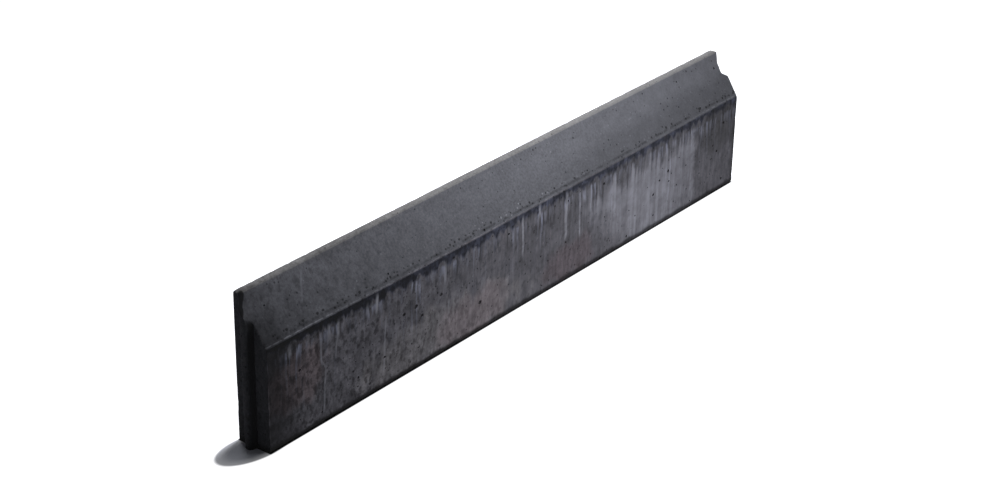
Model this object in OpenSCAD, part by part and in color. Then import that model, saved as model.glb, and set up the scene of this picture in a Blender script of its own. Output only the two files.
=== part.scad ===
// Kerb stone, cast in one piece, with a sloped face above an upright front.
// A tongue on one end and a groove on the other lock a row of stones together.
// X runs along the stone, Y across it with the front at -Y, and Z up from the base.

/* [Stone] */
// Laying length, from shoulder to shoulder
laying_length = 1000; // [250:1:1500]
// Height from the base to the top
stone_height = 200; // [160:1:300]
// Width across the base
base_width = 50; // [40:1:100]

/* [Sloped face] */
// Width of the flat land along the top
top_land = 10; // [6:0.5:24]
// Height of the upright front, up to the foot of the slope
front_height = 138; // [40:1:180]

/* [Tongue and groove] */
// How far the tongue stands out of its end
tongue_reach = 10; // [5:0.5:16]
// Width of the tongue at its root
tongue_width = 20; // [16:0.5:28]
// Distance from the back face to the tongue's root
tongue_from_back = 11; // [6:0.5:16]
// How far the tongue's back flank leans in between root and crown
tongue_back_lean = 8.5; // [2:0.5:10]
// How far the tongue's front flank leans in between root and crown
tongue_front_lean = 4; // [1:0.5:7]
// Gap all round between a tongue and the groove that it enters
joint_gap = 1; // [0.5:0.1:3]

/* [Edges] */
// Radius of the two edges along the top
top_edge_radius = 2; // [0.5:0.1:3]
// Radius of the edge at the foot of the slope
slope_edge_radius = 2; // [0.5:0.1:6]
// Radius of the two edges along the base
base_edge_radius = 1.5; // [0.5:0.1:6]
// Radius of the tongue's crown and of the groove's floor corners
crown_radius = 2.5; // [0.5:0.1:3]
// Radius of the tongue's root corners and of the groove's lips
root_radius = 1; // [0.3:0.1:2]

/* [Hidden] */

// Straight steps in each rounded corner
arc_steps = 6;
// How far each of the two crossing blanks runs past the other
overshoot = 20;

overall_length = laying_length + tongue_reach;
back_y = base_width / 2;
front_y = -back_y;

// The stone is centred on its whole length, with the tongue at its -X end
tongue_shoulder_x = -overall_length / 2 + tongue_reach;
groove_shoulder_x = overall_length / 2;

tongue_back_y = back_y - tongue_from_back;
tongue_front_y = tongue_back_y - tongue_width;

// A flank of the groove lies joint_gap away from the tongue's, measured square to the flank
groove_depth = tongue_reach + joint_gap;
function flank_shift(lean) = joint_gap * norm([tongue_reach, lean]) / tongue_reach;
function lean_at_floor(lean) = lean * groove_depth / tongue_reach;
groove_back_y = tongue_back_y + flank_shift(tongue_back_lean);
groove_front_y = tongue_front_y - flank_shift(tongue_front_lean);

// Corners of the cross-section as [y, z], counter-clockwise from the front of the base
section_corners = [
    [front_y, 0],
    [back_y, 0],
    [back_y, stone_height],
    [back_y - top_land, stone_height],
    [front_y, front_height],
];
section_radii = [base_edge_radius, base_edge_radius, top_edge_radius, top_edge_radius, slope_edge_radius];

// Corners of the tongue's end as [x, y], from the back of the stone to its front
tongue_corners = [
    [tongue_shoulder_x, tongue_back_y],
    [tongue_shoulder_x - tongue_reach, tongue_back_y - tongue_back_lean],
    [tongue_shoulder_x - tongue_reach, tongue_front_y + tongue_front_lean],
    [tongue_shoulder_x, tongue_front_y],
];

// Corners of the groove's end as [x, y], from the front of the stone to its back
groove_corners = [
    [groove_shoulder_x, groove_front_y],
    [groove_shoulder_x - groove_depth, groove_front_y + lean_at_floor(tongue_front_lean)],
    [groove_shoulder_x - groove_depth, groove_back_y - lean_at_floor(tongue_back_lean)],
    [groove_shoulder_x, groove_back_y],
];
joint_radii = [root_radius, crown_radius, crown_radius, root_radius];

// The plan runs past the front and the back, so that the section alone shapes those faces
plan_corners = [
    [tongue_shoulder_x, back_y + overshoot],
    each tongue_corners,
    [tongue_shoulder_x, front_y - overshoot],
    [groove_shoulder_x, front_y - overshoot],
    each groove_corners,
    [groove_shoulder_x, back_y + overshoot],
];
plan_radii = [0, each joint_radii, 0, 0, each joint_radii, 0];

function unit(v) = v / norm(v);

// Points of one corner rounded to a radius, or the corner itself where the radius is 0
function corner_points(before, corner, after, radius) =
    radius == 0 ? [corner] :
    let (
        to_before = unit(before - corner),
        to_after = unit(after - corner),
        half_angle = acos(to_before * to_after) / 2,
        centre = corner + unit(to_before + to_after) * radius / sin(half_angle),
        first = corner + to_before * radius / tan(half_angle) - centre,
        start = atan2(first.y, first.x),
        turn = cross(to_before, to_after) < 0 ? 1 : -1,
        sweep = turn * (180 - 2 * half_angle)
    )
    [
        for (step = [0 : arc_steps])
            let (angle = start + sweep * step / arc_steps)
                centre + radius * [cos(angle), sin(angle)]
    ];

function rounded(corners, radii) =
    let (count = len(corners))
    [
        for (i = [0 : count - 1])
            each corner_points(corners[(i + count - 1) % count], corners[i], corners[(i + 1) % count], radii[i])
    ];

module section_along_length() {
    rotate([90, 0, 90])
        linear_extrude(height = overall_length + 2 * overshoot, center = true)
            polygon(rounded(section_corners, section_radii));
}

module plan_up_height() {
    translate([0, 0, -overshoot])
        linear_extrude(height = stone_height + 2 * overshoot)
            polygon(rounded(plan_corners, plan_radii));
}

// The stone is what the drawn-out cross-section and the raised plan have in common
module kerb_stone() {
    color("#4a4a4d")
        intersection() {
            section_along_length();
            plan_up_height();
        }
}

kerb_stone();
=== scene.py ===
"""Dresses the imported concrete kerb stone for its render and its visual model.

The stone is one cast piece. Its mesh follows the same section and plan as the solid, with worn
corners. A Geometry Nodes tree wears its edges and sinks its air holes, and one procedural
concrete finishes it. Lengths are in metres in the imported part's frame: X along the stone from
the tongue to the groove, the front at -Y, Z up.
"""

import logging
import math
from dataclasses import dataclass, replace
from enum import Enum

import bpy
import numpy as np
from mathutils import Matrix, Vector


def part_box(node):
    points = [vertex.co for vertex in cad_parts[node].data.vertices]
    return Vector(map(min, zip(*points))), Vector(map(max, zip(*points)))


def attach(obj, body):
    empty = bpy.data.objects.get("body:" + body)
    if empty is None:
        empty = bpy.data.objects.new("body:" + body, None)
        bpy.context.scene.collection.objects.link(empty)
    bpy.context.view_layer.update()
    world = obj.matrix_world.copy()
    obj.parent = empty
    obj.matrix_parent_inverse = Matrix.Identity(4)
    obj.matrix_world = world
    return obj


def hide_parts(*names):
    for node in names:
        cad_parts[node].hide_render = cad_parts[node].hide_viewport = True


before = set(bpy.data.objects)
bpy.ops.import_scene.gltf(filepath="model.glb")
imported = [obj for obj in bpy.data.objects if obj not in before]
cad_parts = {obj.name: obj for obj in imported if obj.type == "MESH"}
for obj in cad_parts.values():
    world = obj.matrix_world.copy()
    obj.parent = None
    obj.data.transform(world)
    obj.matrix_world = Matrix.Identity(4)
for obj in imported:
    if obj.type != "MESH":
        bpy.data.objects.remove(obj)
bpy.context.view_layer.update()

NODE = "kerb_stone"
PIECE = NODE + "_cast"
BODY = "root"

# Places of the colour sockets on a Mix node, which share their names with its other sockets
MIX_A = 6
MIX_B = 7
MIX_RESULT = 2

# Places of the number sockets on a Random Value node, which share their names in the same way
RANDOM_MIN = 2
RANDOM_MAX = 3
RANDOM_RESULT = 1

# The value about which a noise swings
NOISE_MIDDLE = 0.5

Socket = bpy.types.NodeSocket
Value = Socket | float | tuple[float, ...]
Colour = tuple[float, float, float]
Scales = tuple[float, float, float]
Place = tuple[float, float, float]

log = logging.getLogger("kerb")


class End(Enum):
    """The two ends of the stone."""

    TONGUE = "tongue"
    GROOVE = "groove"


def opaque(colour: Colour) -> tuple[float, ...]:
    """Adds full cover to a colour."""
    return (*colour, 1.0)


class Board:
    """Adds nodes to one tree and links them."""

    def __init__(self, tree: bpy.types.NodeTree) -> None:
        """Starts on an empty or existing tree."""
        self.tree = tree

    def feed(self, socket: Socket, value: Value) -> None:
        """Links a socket to another, or sets its own value.

        Args:
            socket: The input to feed.
            value: Another node's output, or a plain value.
        """
        if isinstance(value, bpy.types.NodeSocket):
            self.tree.links.new(value, socket)
        else:
            socket.default_value = value

    def add(
        self, kind: str, inputs: dict[str | int, Value] | None = None, **settings: object
    ) -> bpy.types.Node:
        """Adds one node.

        Args:
            kind: The node's type.
            inputs: Values or sockets for its inputs, by name or place.
            **settings: Properties of the node itself.

        Returns:
            The new node.
        """
        node = self.tree.nodes.new(kind)
        for name, setting in settings.items():
            setattr(node, name, setting)
        for key, value in (inputs or {}).items():
            self.feed(node.inputs[key], value)
        return node

    def math(self, operation: str, a: Value, b: Value = 0.0) -> Socket:
        """Adds a Math node and returns its result."""
        return self.add("ShaderNodeMath", {0: a, 1: b}, operation=operation).outputs[0]

    def times(self, first: Value, *others: Value) -> Socket:
        """Multiplies two or more values.

        Args:
            first: The first value.
            *others: The values after it.

        Returns:
            Their product.
        """
        result = first
        for other in others:
            result = self.math("MULTIPLY", result, other)
        return result

    def plus(self, first: Value, *others: Value) -> Socket:
        """Adds up two or more values.

        Args:
            first: The first value.
            *others: The values after it.

        Returns:
            Their sum.
        """
        result = first
        for other in others:
            result = self.math("ADD", result, other)
        return result

    def minus(self, a: Value, b: Value) -> Socket:
        """Takes one value from another."""
        return self.math("SUBTRACT", a, b)

    def larger(self, a: Value, b: Value) -> Socket:
        """Picks the larger of two values."""
        return self.math("MAXIMUM", a, b)

    def unsigned(self, value: Value) -> Socket:
        """Drops a value's sign."""
        return self.math("ABSOLUTE", value)

    def inverse(self, mask: Value) -> Socket:
        """Turns a mask round, as 1 minus its value."""
        return self.minus(1.0, mask)

    def centred(self, noise: Value) -> Socket:
        """Moves a noise so that it swings about 0."""
        return self.plus(noise, -NOISE_MIDDLE)

    def vector(self, operation: str, a: Value, b: Value) -> Socket:
        """Adds a Vector Math node and returns its vector."""
        return self.add("ShaderNodeVectorMath", {0: a, 1: b}, operation=operation).outputs["Vector"]

    def scaled(self, vector: Value, factor: Value) -> Socket:
        """Multiplies a vector or colour by one number."""
        inputs = {0: vector, "Scale": factor}
        return self.add("ShaderNodeVectorMath", inputs, operation="SCALE").outputs["Vector"]

    def length(self, vector: Value) -> Socket:
        """Measures a vector."""
        return self.add("ShaderNodeVectorMath", {0: vector}, operation="LENGTH").outputs["Value"]

    def axes(self, vector: Value) -> bpy.types.NodeOutputs:
        """Takes a vector apart into X, Y and Z."""
        return self.add("ShaderNodeSeparateXYZ", {0: vector}).outputs

    def step(self, value: Value, start: Value, end: Value, low: Value = 0.0, high: Value = 1.0) -> Socket:
        """Maps a value smoothly from low, up to the start, to high, from the end on."""
        inputs = {"Value": value, "From Min": start, "From Max": end, "To Min": low, "To Max": high}
        return self.add("ShaderNodeMapRange", inputs, interpolation_type="SMOOTHSTEP").outputs["Result"]

    def between(self, mask: Value, outside: Value, inside: Value) -> Socket:
        """Goes from one value outside a mask to another inside it."""
        return self.step(mask, 0.0, 1.0, outside, inside)

    def tinted(self, mask: Value, tone: Value) -> Socket:
        """Makes a factor that is 1 outside a mask and a tone inside it."""
        return self.between(mask, 1.0, tone)

    def limited(self, mask: Value, factor: Value) -> Socket:
        """Keeps a factor inside a mask and leaves 1 outside it."""
        return self.plus(1.0, self.times(mask, self.plus(factor, -1.0)))

    def noise(self, where: Value, scale: Value, detail: float = 2.0, roughness: float = 0.5) -> Socket:
        """Adds a Noise Texture and returns its value, about 0.3 to 0.7 for most of the surface."""
        inputs = {"Vector": where, "Scale": scale, "Detail": detail, "Roughness": roughness}
        return self.add("ShaderNodeTexNoise", inputs).outputs[0]

    def mix(self, share: Value, a: Value, b: Value) -> Socket:
        """Mixes two colours."""
        node = self.add("ShaderNodeMix", {0: share, MIX_A: a, MIX_B: b}, data_type="RGBA")
        return node.outputs[MIX_RESULT]


@dataclass(frozen=True)
class Ramp:
    """A smooth change: low up to one place, high from another place on."""

    start: float
    end: float
    low: float = 0.0
    high: float = 1.0

    def moved(self, by: float) -> "Ramp":
        """The same change at another place."""
        return replace(self, start=self.start + by, end=self.end + by)

    def of(
        self, board: Board, value: Value, low: Socket | None = None, high: Socket | None = None
    ) -> Socket:
        """Sends a value through the change.

        Args:
            board: The tree's board.
            value: What is mapped.
            low: A socket that stands in for the plain low value.
            high: A socket that stands in for the plain high value.

        Returns:
            The mapped value.
        """
        from_value = self.low if low is None else low
        to_value = self.high if high is None else high
        return board.step(value, self.start, self.end, from_value, to_value)


@dataclass(frozen=True)
class Strip:
    """The values between two places, with soft borders."""

    start: float
    end: float
    soft: float

    def mask(self, board: Board, value: Value) -> Socket:
        """Makes a mask of these values.

        Args:
            board: The tree's board.
            value: What lies inside or outside the strip.

        Returns:
            The mask, 1 inside.
        """
        rise = board.step(value, self.start - self.soft, self.start + self.soft)
        fall = board.step(value, self.end - self.soft, self.end + self.soft, 1.0, 0.0)
        return board.times(rise, fall)


@dataclass(frozen=True)
class Noise:
    """A noise: its scale, one for all axes or one for each, and how finely it is broken up."""

    scale: float | Scales
    detail: float = 2.0
    roughness: float = 0.5

    def at(self, board: Board, where: Value) -> Socket:
        """Reads the noise.

        Args:
            board: The tree's board.
            where: The place on the surface.

        Returns:
            The noise's value there.
        """
        if isinstance(self.scale, tuple):
            stretched = board.vector("MULTIPLY", where, self.scale)
            return board.noise(stretched, 1.0, self.detail, self.roughness)
        return board.noise(where, self.scale, self.detail, self.roughness)


@dataclass(frozen=True)
class Dots:
    """Scattered round dots.

    Each cell of the surface may hold one dot. The scale is in cells a metre, the share is the part
    of the cells that hold a dot, and the size is the largest radius as a part of a cell.
    """

    scale: float
    share: float
    size: float
    smallest: float = 0.4
    border: Ramp = Ramp(0.6, 1.1, 1.0, 0.0)

    def mask(self, board: Board, where: Value) -> Socket:
        """Makes a mask of the dots.

        Args:
            board: The tree's board.
            where: The place on the surface.

        Returns:
            The mask, 1 inside a dot.
        """
        cells = board.add("ShaderNodeTexVoronoi", {"Vector": where, "Scale": self.scale}).outputs
        chance = board.add("ShaderNodeSeparateColor", {"Color": cells["Color"]}).outputs
        held = board.math("LESS_THAN", chance["Red"], self.share)
        radius = board.between(chance["Green"], self.size * self.smallest, self.size)
        inside = self.border.of(board, board.math("DIVIDE", cells["Distance"], radius))
        return board.times(inside, held)


def rounded_path(corners: np.ndarray, radii: list[float], steps: int) -> np.ndarray:
    """Rounds the inner corners of an open path.

    Args:
        corners: The path's corners, one row each.
        radii: A radius for each corner but the first and the last.
        steps: Straight steps in each rounded corner.

    Returns:
        The rounded path's points, one row each.
    """
    points = [corners[0]]
    for before, corner, after, radius in zip(corners, corners[1:], corners[2:], radii):
        to_before = (before - corner) / np.linalg.norm(before - corner)
        to_after = (after - corner) / np.linalg.norm(after - corner)
        half_angle = math.acos(to_before @ to_after) / 2
        middle = (to_before + to_after) / np.linalg.norm(to_before + to_after)
        centre = corner + middle * radius / math.sin(half_angle)
        first = corner + to_before * radius / math.tan(half_angle) - centre
        start = math.atan2(first[1], first[0])
        turn = 1 if np.cross(to_before, to_after) < 0 else -1
        sweep = turn * (math.pi - 2 * half_angle)
        for angle in np.linspace(start, start + sweep, steps + 1):
            points.append(centre + radius * np.array([math.cos(angle), math.sin(angle)]))
    points.append(corners[-1])
    return np.array(points)


def divided(path: np.ndarray, longest: float) -> np.ndarray:
    """Divides the steps of a path that are longer than a limit.

    Args:
        path: The path's points, one row each.
        longest: The longest step to leave.

    Returns:
        The path with points added along its long steps.
    """
    points = [path[0]]
    for start, end in zip(path, path[1:]):
        count = max(1, math.ceil(np.linalg.norm(end - start) / longest))
        points.extend(start + (end - start) * step / count for step in range(1, count + 1))
    return np.array(points)


@dataclass(frozen=True)
class StoneShape:
    """The stone's box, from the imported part, and the sizes that shape it inside that box."""

    low: Vector
    high: Vector
    top_land: float = 0.010
    front_height: float = 0.138
    tongue_reach: float = 0.010
    tongue_width: float = 0.020
    tongue_from_back: float = 0.011
    tongue_back_lean: float = 0.0085
    tongue_front_lean: float = 0.004
    joint_gap: float = 0.001
    top_edge_radius: float = 0.002
    slope_edge_radius: float = 0.002
    base_edge_radius: float = 0.0015
    crown_radius: float = 0.0025
    root_radius: float = 0.001
    arc_steps: int = 4

    @property
    def shoulders(self) -> tuple[float, float]:
        """X of the flat shoulders at the tongue's end and at the groove's end."""
        return self.low.x + self.tongue_reach, self.high.x

    @property
    def land_front(self) -> float:
        """Y of the front of the flat land along the top."""
        return self.high.y - self.top_land

    @property
    def tongue_back_root(self) -> float:
        """Y of the inner corner behind the tongue."""
        return self.high.y - self.tongue_from_back

    @property
    def tongue_front_root(self) -> float:
        """Y of the inner corner in front of the tongue."""
        return self.tongue_back_root - self.tongue_width

    @property
    def tongue_crown(self) -> tuple[float, float]:
        """Y of the tongue's crown, at its front and at its back."""
        front = self.tongue_front_root + self.tongue_front_lean
        return front, self.tongue_back_root - self.tongue_back_lean

    @property
    def edges(self) -> dict[str, tuple[float, float]]:
        """Places of the long edges in the section, before they are rounded.

        Returns:
            Each edge's (y, z), by its name.
        """
        return {
            "slope_foot": (self.low.y, self.front_height),
            "top_front": (self.land_front, self.high.z),
            "top_back": (self.high.y, self.high.z),
            "base_front": (self.low.y, self.low.z),
            "base_back": (self.high.y, self.low.z),
        }

    def section_top(self) -> np.ndarray:
        """Draws the upper half of the section, from the front face over slope and land to the back.

        Returns:
            Its points as (y, z), one a row.
        """
        edges = self.edges
        start = (self.low.y, self.front_height / 2)
        end = (self.high.y, self.high.z / 2)
        corners = np.array([start, edges["slope_foot"], edges["top_front"], edges["top_back"], end])
        radii = [self.slope_edge_radius, self.top_edge_radius, self.top_edge_radius]
        return rounded_path(corners, radii, self.arc_steps)[1:-1]

    def section_base(self) -> np.ndarray:
        """Draws the lower half of the section, from the front face under the base to the back.

        Returns:
            Its points as (y, z), one a row.
        """
        edges = self.edges
        start = (self.low.y, self.front_height / 2)
        end = (self.high.y, self.front_height / 2)
        corners = np.array([start, edges["base_front"], edges["base_back"], end])
        return rounded_path(corners, [self.base_edge_radius] * 2, self.arc_steps)[1:-1]

    def end_path(self, end: End) -> np.ndarray:
        """Draws the plan of one end, from the front to the back.

        Args:
            end: Which end.

        Returns:
            The end's outline as (y, x), with its tongue or groove, one point a row.
        """
        tongue_shoulder, groove_shoulder = self.shoulders
        shoulder = tongue_shoulder if end is End.TONGUE else groove_shoulder
        gap = 0.0 if end is End.TONGUE else self.joint_gap
        depth = self.tongue_reach + gap
        back_flank = math.hypot(self.tongue_reach, self.tongue_back_lean)
        front_flank = math.hypot(self.tongue_reach, self.tongue_front_lean)
        mouth_back = self.tongue_back_root + gap * back_flank / self.tongue_reach
        mouth_front = self.tongue_front_root - gap * front_flank / self.tongue_reach
        floor_back = mouth_back - self.tongue_back_lean * depth / self.tongue_reach
        floor_front = mouth_front + self.tongue_front_lean * depth / self.tongue_reach
        corners = np.array([
            (self.low.y, shoulder),
            (mouth_front, shoulder),
            (floor_front, shoulder - depth),
            (floor_back, shoulder - depth),
            (mouth_back, shoulder),
            (self.high.y, shoulder),
        ])
        radii = [self.root_radius, self.crown_radius, self.crown_radius, self.root_radius]
        return rounded_path(corners, radii, self.arc_steps)


@dataclass(frozen=True)
class StoneMesh:
    """Draws the stone as one closed mesh of small, even faces, with worn corners."""

    shape: StoneShape
    face_size: float = 0.0024
    length_step: float = 0.0033
    end_steps: tuple[float, ...] = (0.0, 0.0008, 0.0018, 0.0032)
    edge_reach: float = 0.0032
    top_share: float = 0.5
    long_edge_rub: float = 0.0002
    end_edge_rub: float = 0.0004
    tongue_corner_drop: float = 0.0010
    groove_corner_drop: float = 0.0022
    corner_reach: float = 0.009
    corner_height: float = 0.030
    slope_corner_wear: float = 0.0026
    slope_corner_reach: float = 0.008
    slope_corner_depth: float = 0.009

    def build(self) -> bpy.types.Object:
        """Draws the stone.

        Returns:
            The stone's object, with the edge attributes that the cast surface reads.
        """
        grid_y, grid_z = self._section_grid()
        rim = self._rim(*grid_y.shape)
        rim_y = np.array([grid_y[place] for place in rim])
        rim_z = np.array([grid_z[place] for place in rim])
        stations = self._stations()
        start_x = self._end_x(End.TONGUE, rim_y)
        stop_x = self._end_x(End.GROOVE, rim_y)
        side_x = start_x + (stop_x - start_x) * stations[:, None]
        side_y = np.broadcast_to(rim_y, side_x.shape)
        side_z = np.broadcast_to(rim_z, side_x.shape)
        points = [np.stack([side_x, side_y, side_z], axis=-1).reshape(-1, 3)]
        quads = [self._side_faces(len(stations), len(rim))]
        inner_y = grid_y[1:-1, 1:-1]
        inner_z = grid_z[1:-1, 1:-1]
        total = side_x.size
        for end in End:
            first = 0 if end is End.TONGUE else side_x.size - len(rim)
            inner_x = self._end_x(end, inner_y)
            points.append(np.stack([inner_x, inner_y, inner_z], axis=-1).reshape(-1, 3))
            numbers = np.empty(grid_y.shape, dtype=int)
            numbers[1:-1, 1:-1] = total + np.arange(inner_y.size).reshape(inner_y.shape)
            for number, place in enumerate(rim):
                numbers[place] = first + number
            quads.append(self._end_faces(numbers, end))
            total += inner_y.size
        # The faces of the long sides come first, and those of the two ends after them
        end_face = np.repeat([0.0, 1.0, 1.0], [len(faces) for faces in quads])
        return self._object(np.concatenate(points), np.concatenate(quads), end_face)

    def _stations(self) -> np.ndarray:
        """Places the cross-sections along the stone, closer to each other near the ends.

        Returns:
            Their places, from 0 at the tongue's end to 1 at the groove's.
        """
        length = self.shape.high.x - self.shape.low.x
        near = np.array(self.end_steps)
        inner = length - 2 * near[-1]
        count = round(inner / self.length_step)
        middle = near[-1] + inner * np.arange(1, count) / count
        return np.concatenate([near, middle, length - near[::-1]]) / length

    def _section_grid(self) -> tuple[np.ndarray, np.ndarray]:
        """Lays a grid over the section, with columns from front to back and rows from base to top.

        Returns:
            Y and z of the grid's points, each indexed by column and row.
        """
        top = divided(self.shape.section_top(), self.face_size)
        columns = top[:, 0]
        base_z = np.interp(columns, *self.shape.section_base().T)
        rows = np.linspace(0, 1, round(self.shape.front_height / self.face_size) + 1)
        grid_y = np.repeat(columns[:, None], len(rows), axis=1)
        grid_z = base_z[:, None] + (top[:, 1] - base_z)[:, None] * rows
        return grid_y, grid_z

    @staticmethod
    def _rim(columns: int, rows: int) -> list[tuple[int, int]]:
        """Goes once round the rim of a grid: along the base, up the back, along the top and down.

        Args:
            columns: How many columns the grid has.
            rows: How many rows it has.

        Returns:
            The rim's places as (column, row).
        """
        last_column = columns - 1
        last_row = rows - 1
        rim = [(column, 0) for column in range(last_column)]
        rim += [(last_column, row) for row in range(last_row)]
        rim += [(column, last_row) for column in range(last_column, 0, -1)]
        rim += [(0, row) for row in range(last_row, 0, -1)]
        return rim

    def _end_x(self, end: End, y: np.ndarray) -> np.ndarray:
        """X of one end's surface at some places across the stone."""
        return np.interp(y, *self.shape.end_path(end).T)

    @staticmethod
    def _side_faces(stations: int, ring: int) -> np.ndarray:
        """Makes the faces of the long sides, between one ring of points and the next.

        Args:
            stations: How many rings there are.
            ring: How many points a ring has.

        Returns:
            Four point numbers a face, one face a row.
        """
        here = np.arange(stations * ring).reshape(stations, ring)
        turned_ring = np.roll(here, -1, axis=1)
        faces = np.stack([here[:-1], turned_ring[:-1], turned_ring[1:], here[1:]], axis=-1)
        return faces.reshape(-1, 4)

    @staticmethod
    def _end_faces(numbers: np.ndarray, end: End) -> np.ndarray:
        """Makes the faces of one end, turned to point out of the stone.

        Args:
            numbers: Point numbers of the end's grid.
            end: Which end.

        Returns:
            Four point numbers a face, one face a row.
        """
        corners = [numbers[:-1, :-1], numbers[1:, :-1], numbers[1:, 1:], numbers[:-1, 1:]]
        faces = np.stack(corners, axis=-1).reshape(-1, 4)
        return faces[:, ::-1] if end is End.TONGUE else faces

    def _object(self, points: np.ndarray, quads: np.ndarray, end_face: np.ndarray) -> bpy.types.Object:
        """Makes the object and stores how its edges wear and which faces are its ends.

        Args:
            points: The stone's points before its corners are worn, one a row.
            quads: Its faces, four point numbers a row.
            end_face: For each face, 1 on an end and 0 on a side.

        Returns:
            The object, in the scene.
        """
        mesh = bpy.data.meshes.new(PIECE)
        mesh.from_pydata(self._worn_corners(points).tolist(), [], quads.tolist())
        mesh.validate()
        long_edge = np.full(len(points), np.inf)
        for y, z in self.shape.edges.values():
            long_edge = np.minimum(long_edge, np.hypot(points[:, 1] - y, points[:, 2] - z))
        end_edge = self._end_distance(points)
        long_share = np.clip(1 - long_edge / self.edge_reach, 0, 1)
        end_share = np.clip(1 - end_edge / self.edge_reach, 0, 1)
        self._store(mesh, "end_face", end_face, "FACE")
        self._store(mesh, "edge", np.maximum(long_share, end_share))
        self._store(mesh, "rub", long_share * self.long_edge_rub + end_share**3 * self.end_edge_rub)
        stone = bpy.data.objects.new(PIECE, mesh)
        bpy.context.scene.collection.objects.link(stone)
        return stone

    def _worn_corners(self, points: np.ndarray) -> np.ndarray:
        """Lowers the top a little towards both ends, where its corners are worn.

        Args:
            points: The stone's points, one a row.

        Returns:
            The moved points.
        """
        start, stop = self.shape.shoulders
        high = np.clip(1 - (self.shape.high.z - points[:, 2]) / self.corner_height, 0, 1)
        worn = points.copy()
        drops = (
            (self.tongue_corner_drop, points[:, 0] - start),
            (self.groove_corner_drop, stop - points[:, 0]),
        )
        for drop, inside in drops:
            share = 1 - np.clip(inside, 0, self.corner_reach) / self.corner_reach
            worn[:, 2] -= drop * share**2 * high
        return worn + self._slope_corner(points)

    def _slope_corner(self, points: np.ndarray) -> np.ndarray:
        """Works out the moves that round off the slope's upper corner beside the tongue.

        Args:
            points: The stone's points, one a row.

        Returns:
            How far each point moves, square to the slope.
        """
        shape = self.shape
        x, y, z = points.T
        inside = x - self._end_x(End.TONGUE, y)
        depth = np.interp(y, *shape.section_top().T) - z
        upper = np.clip((y - shape.tongue_crown[0]) / self.corner_reach, 0, 1)
        ahead = np.clip((shape.high.y - y) / shape.top_land, 0, 1)
        near = np.clip(1 - inside / self.slope_corner_reach, 0, 1) ** 2
        shallow = np.clip(1 - depth / self.slope_corner_depth, 0, 1)
        rise = shape.high.z - shape.front_height
        run = shape.land_front - shape.low.y
        into_slope = np.array([0.0, rise, -run]) / math.hypot(rise, run)
        return (self.slope_corner_wear * upper * ahead * near * shallow)[:, None] * into_slope

    def _end_distance(self, points: np.ndarray) -> np.ndarray:
        """Measures how far each point lies from the edges round the two ends.

        Args:
            points: The stone's points, one a row.

        Returns:
            One distance a point.
        """
        shape = self.shape
        x, y, z = points.T
        along = np.minimum(x - self._end_x(End.TONGUE, y), self._end_x(End.GROOVE, y) - x)
        across = np.minimum.reduce([
            y - shape.low.y,
            shape.high.y - y,
            z - np.interp(y, *shape.section_base().T),
            (np.interp(y, *shape.section_top().T) - z) * self.top_share,
        ])
        return np.hypot(np.maximum(along, 0), np.maximum(across, 0))

    @staticmethod
    def _store(mesh: bpy.types.Mesh, name: str, values: np.ndarray, domain: str = "POINT") -> None:
        """Stores one number for each point or face of a mesh."""
        attribute = mesh.attributes.new(name, "FLOAT", domain)
        attribute.data.foreach_set("value", values.astype(np.float32))


@dataclass(frozen=True)
class Pore:
    """One large pore in the front face."""

    x: float
    z: float
    radius: float


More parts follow.
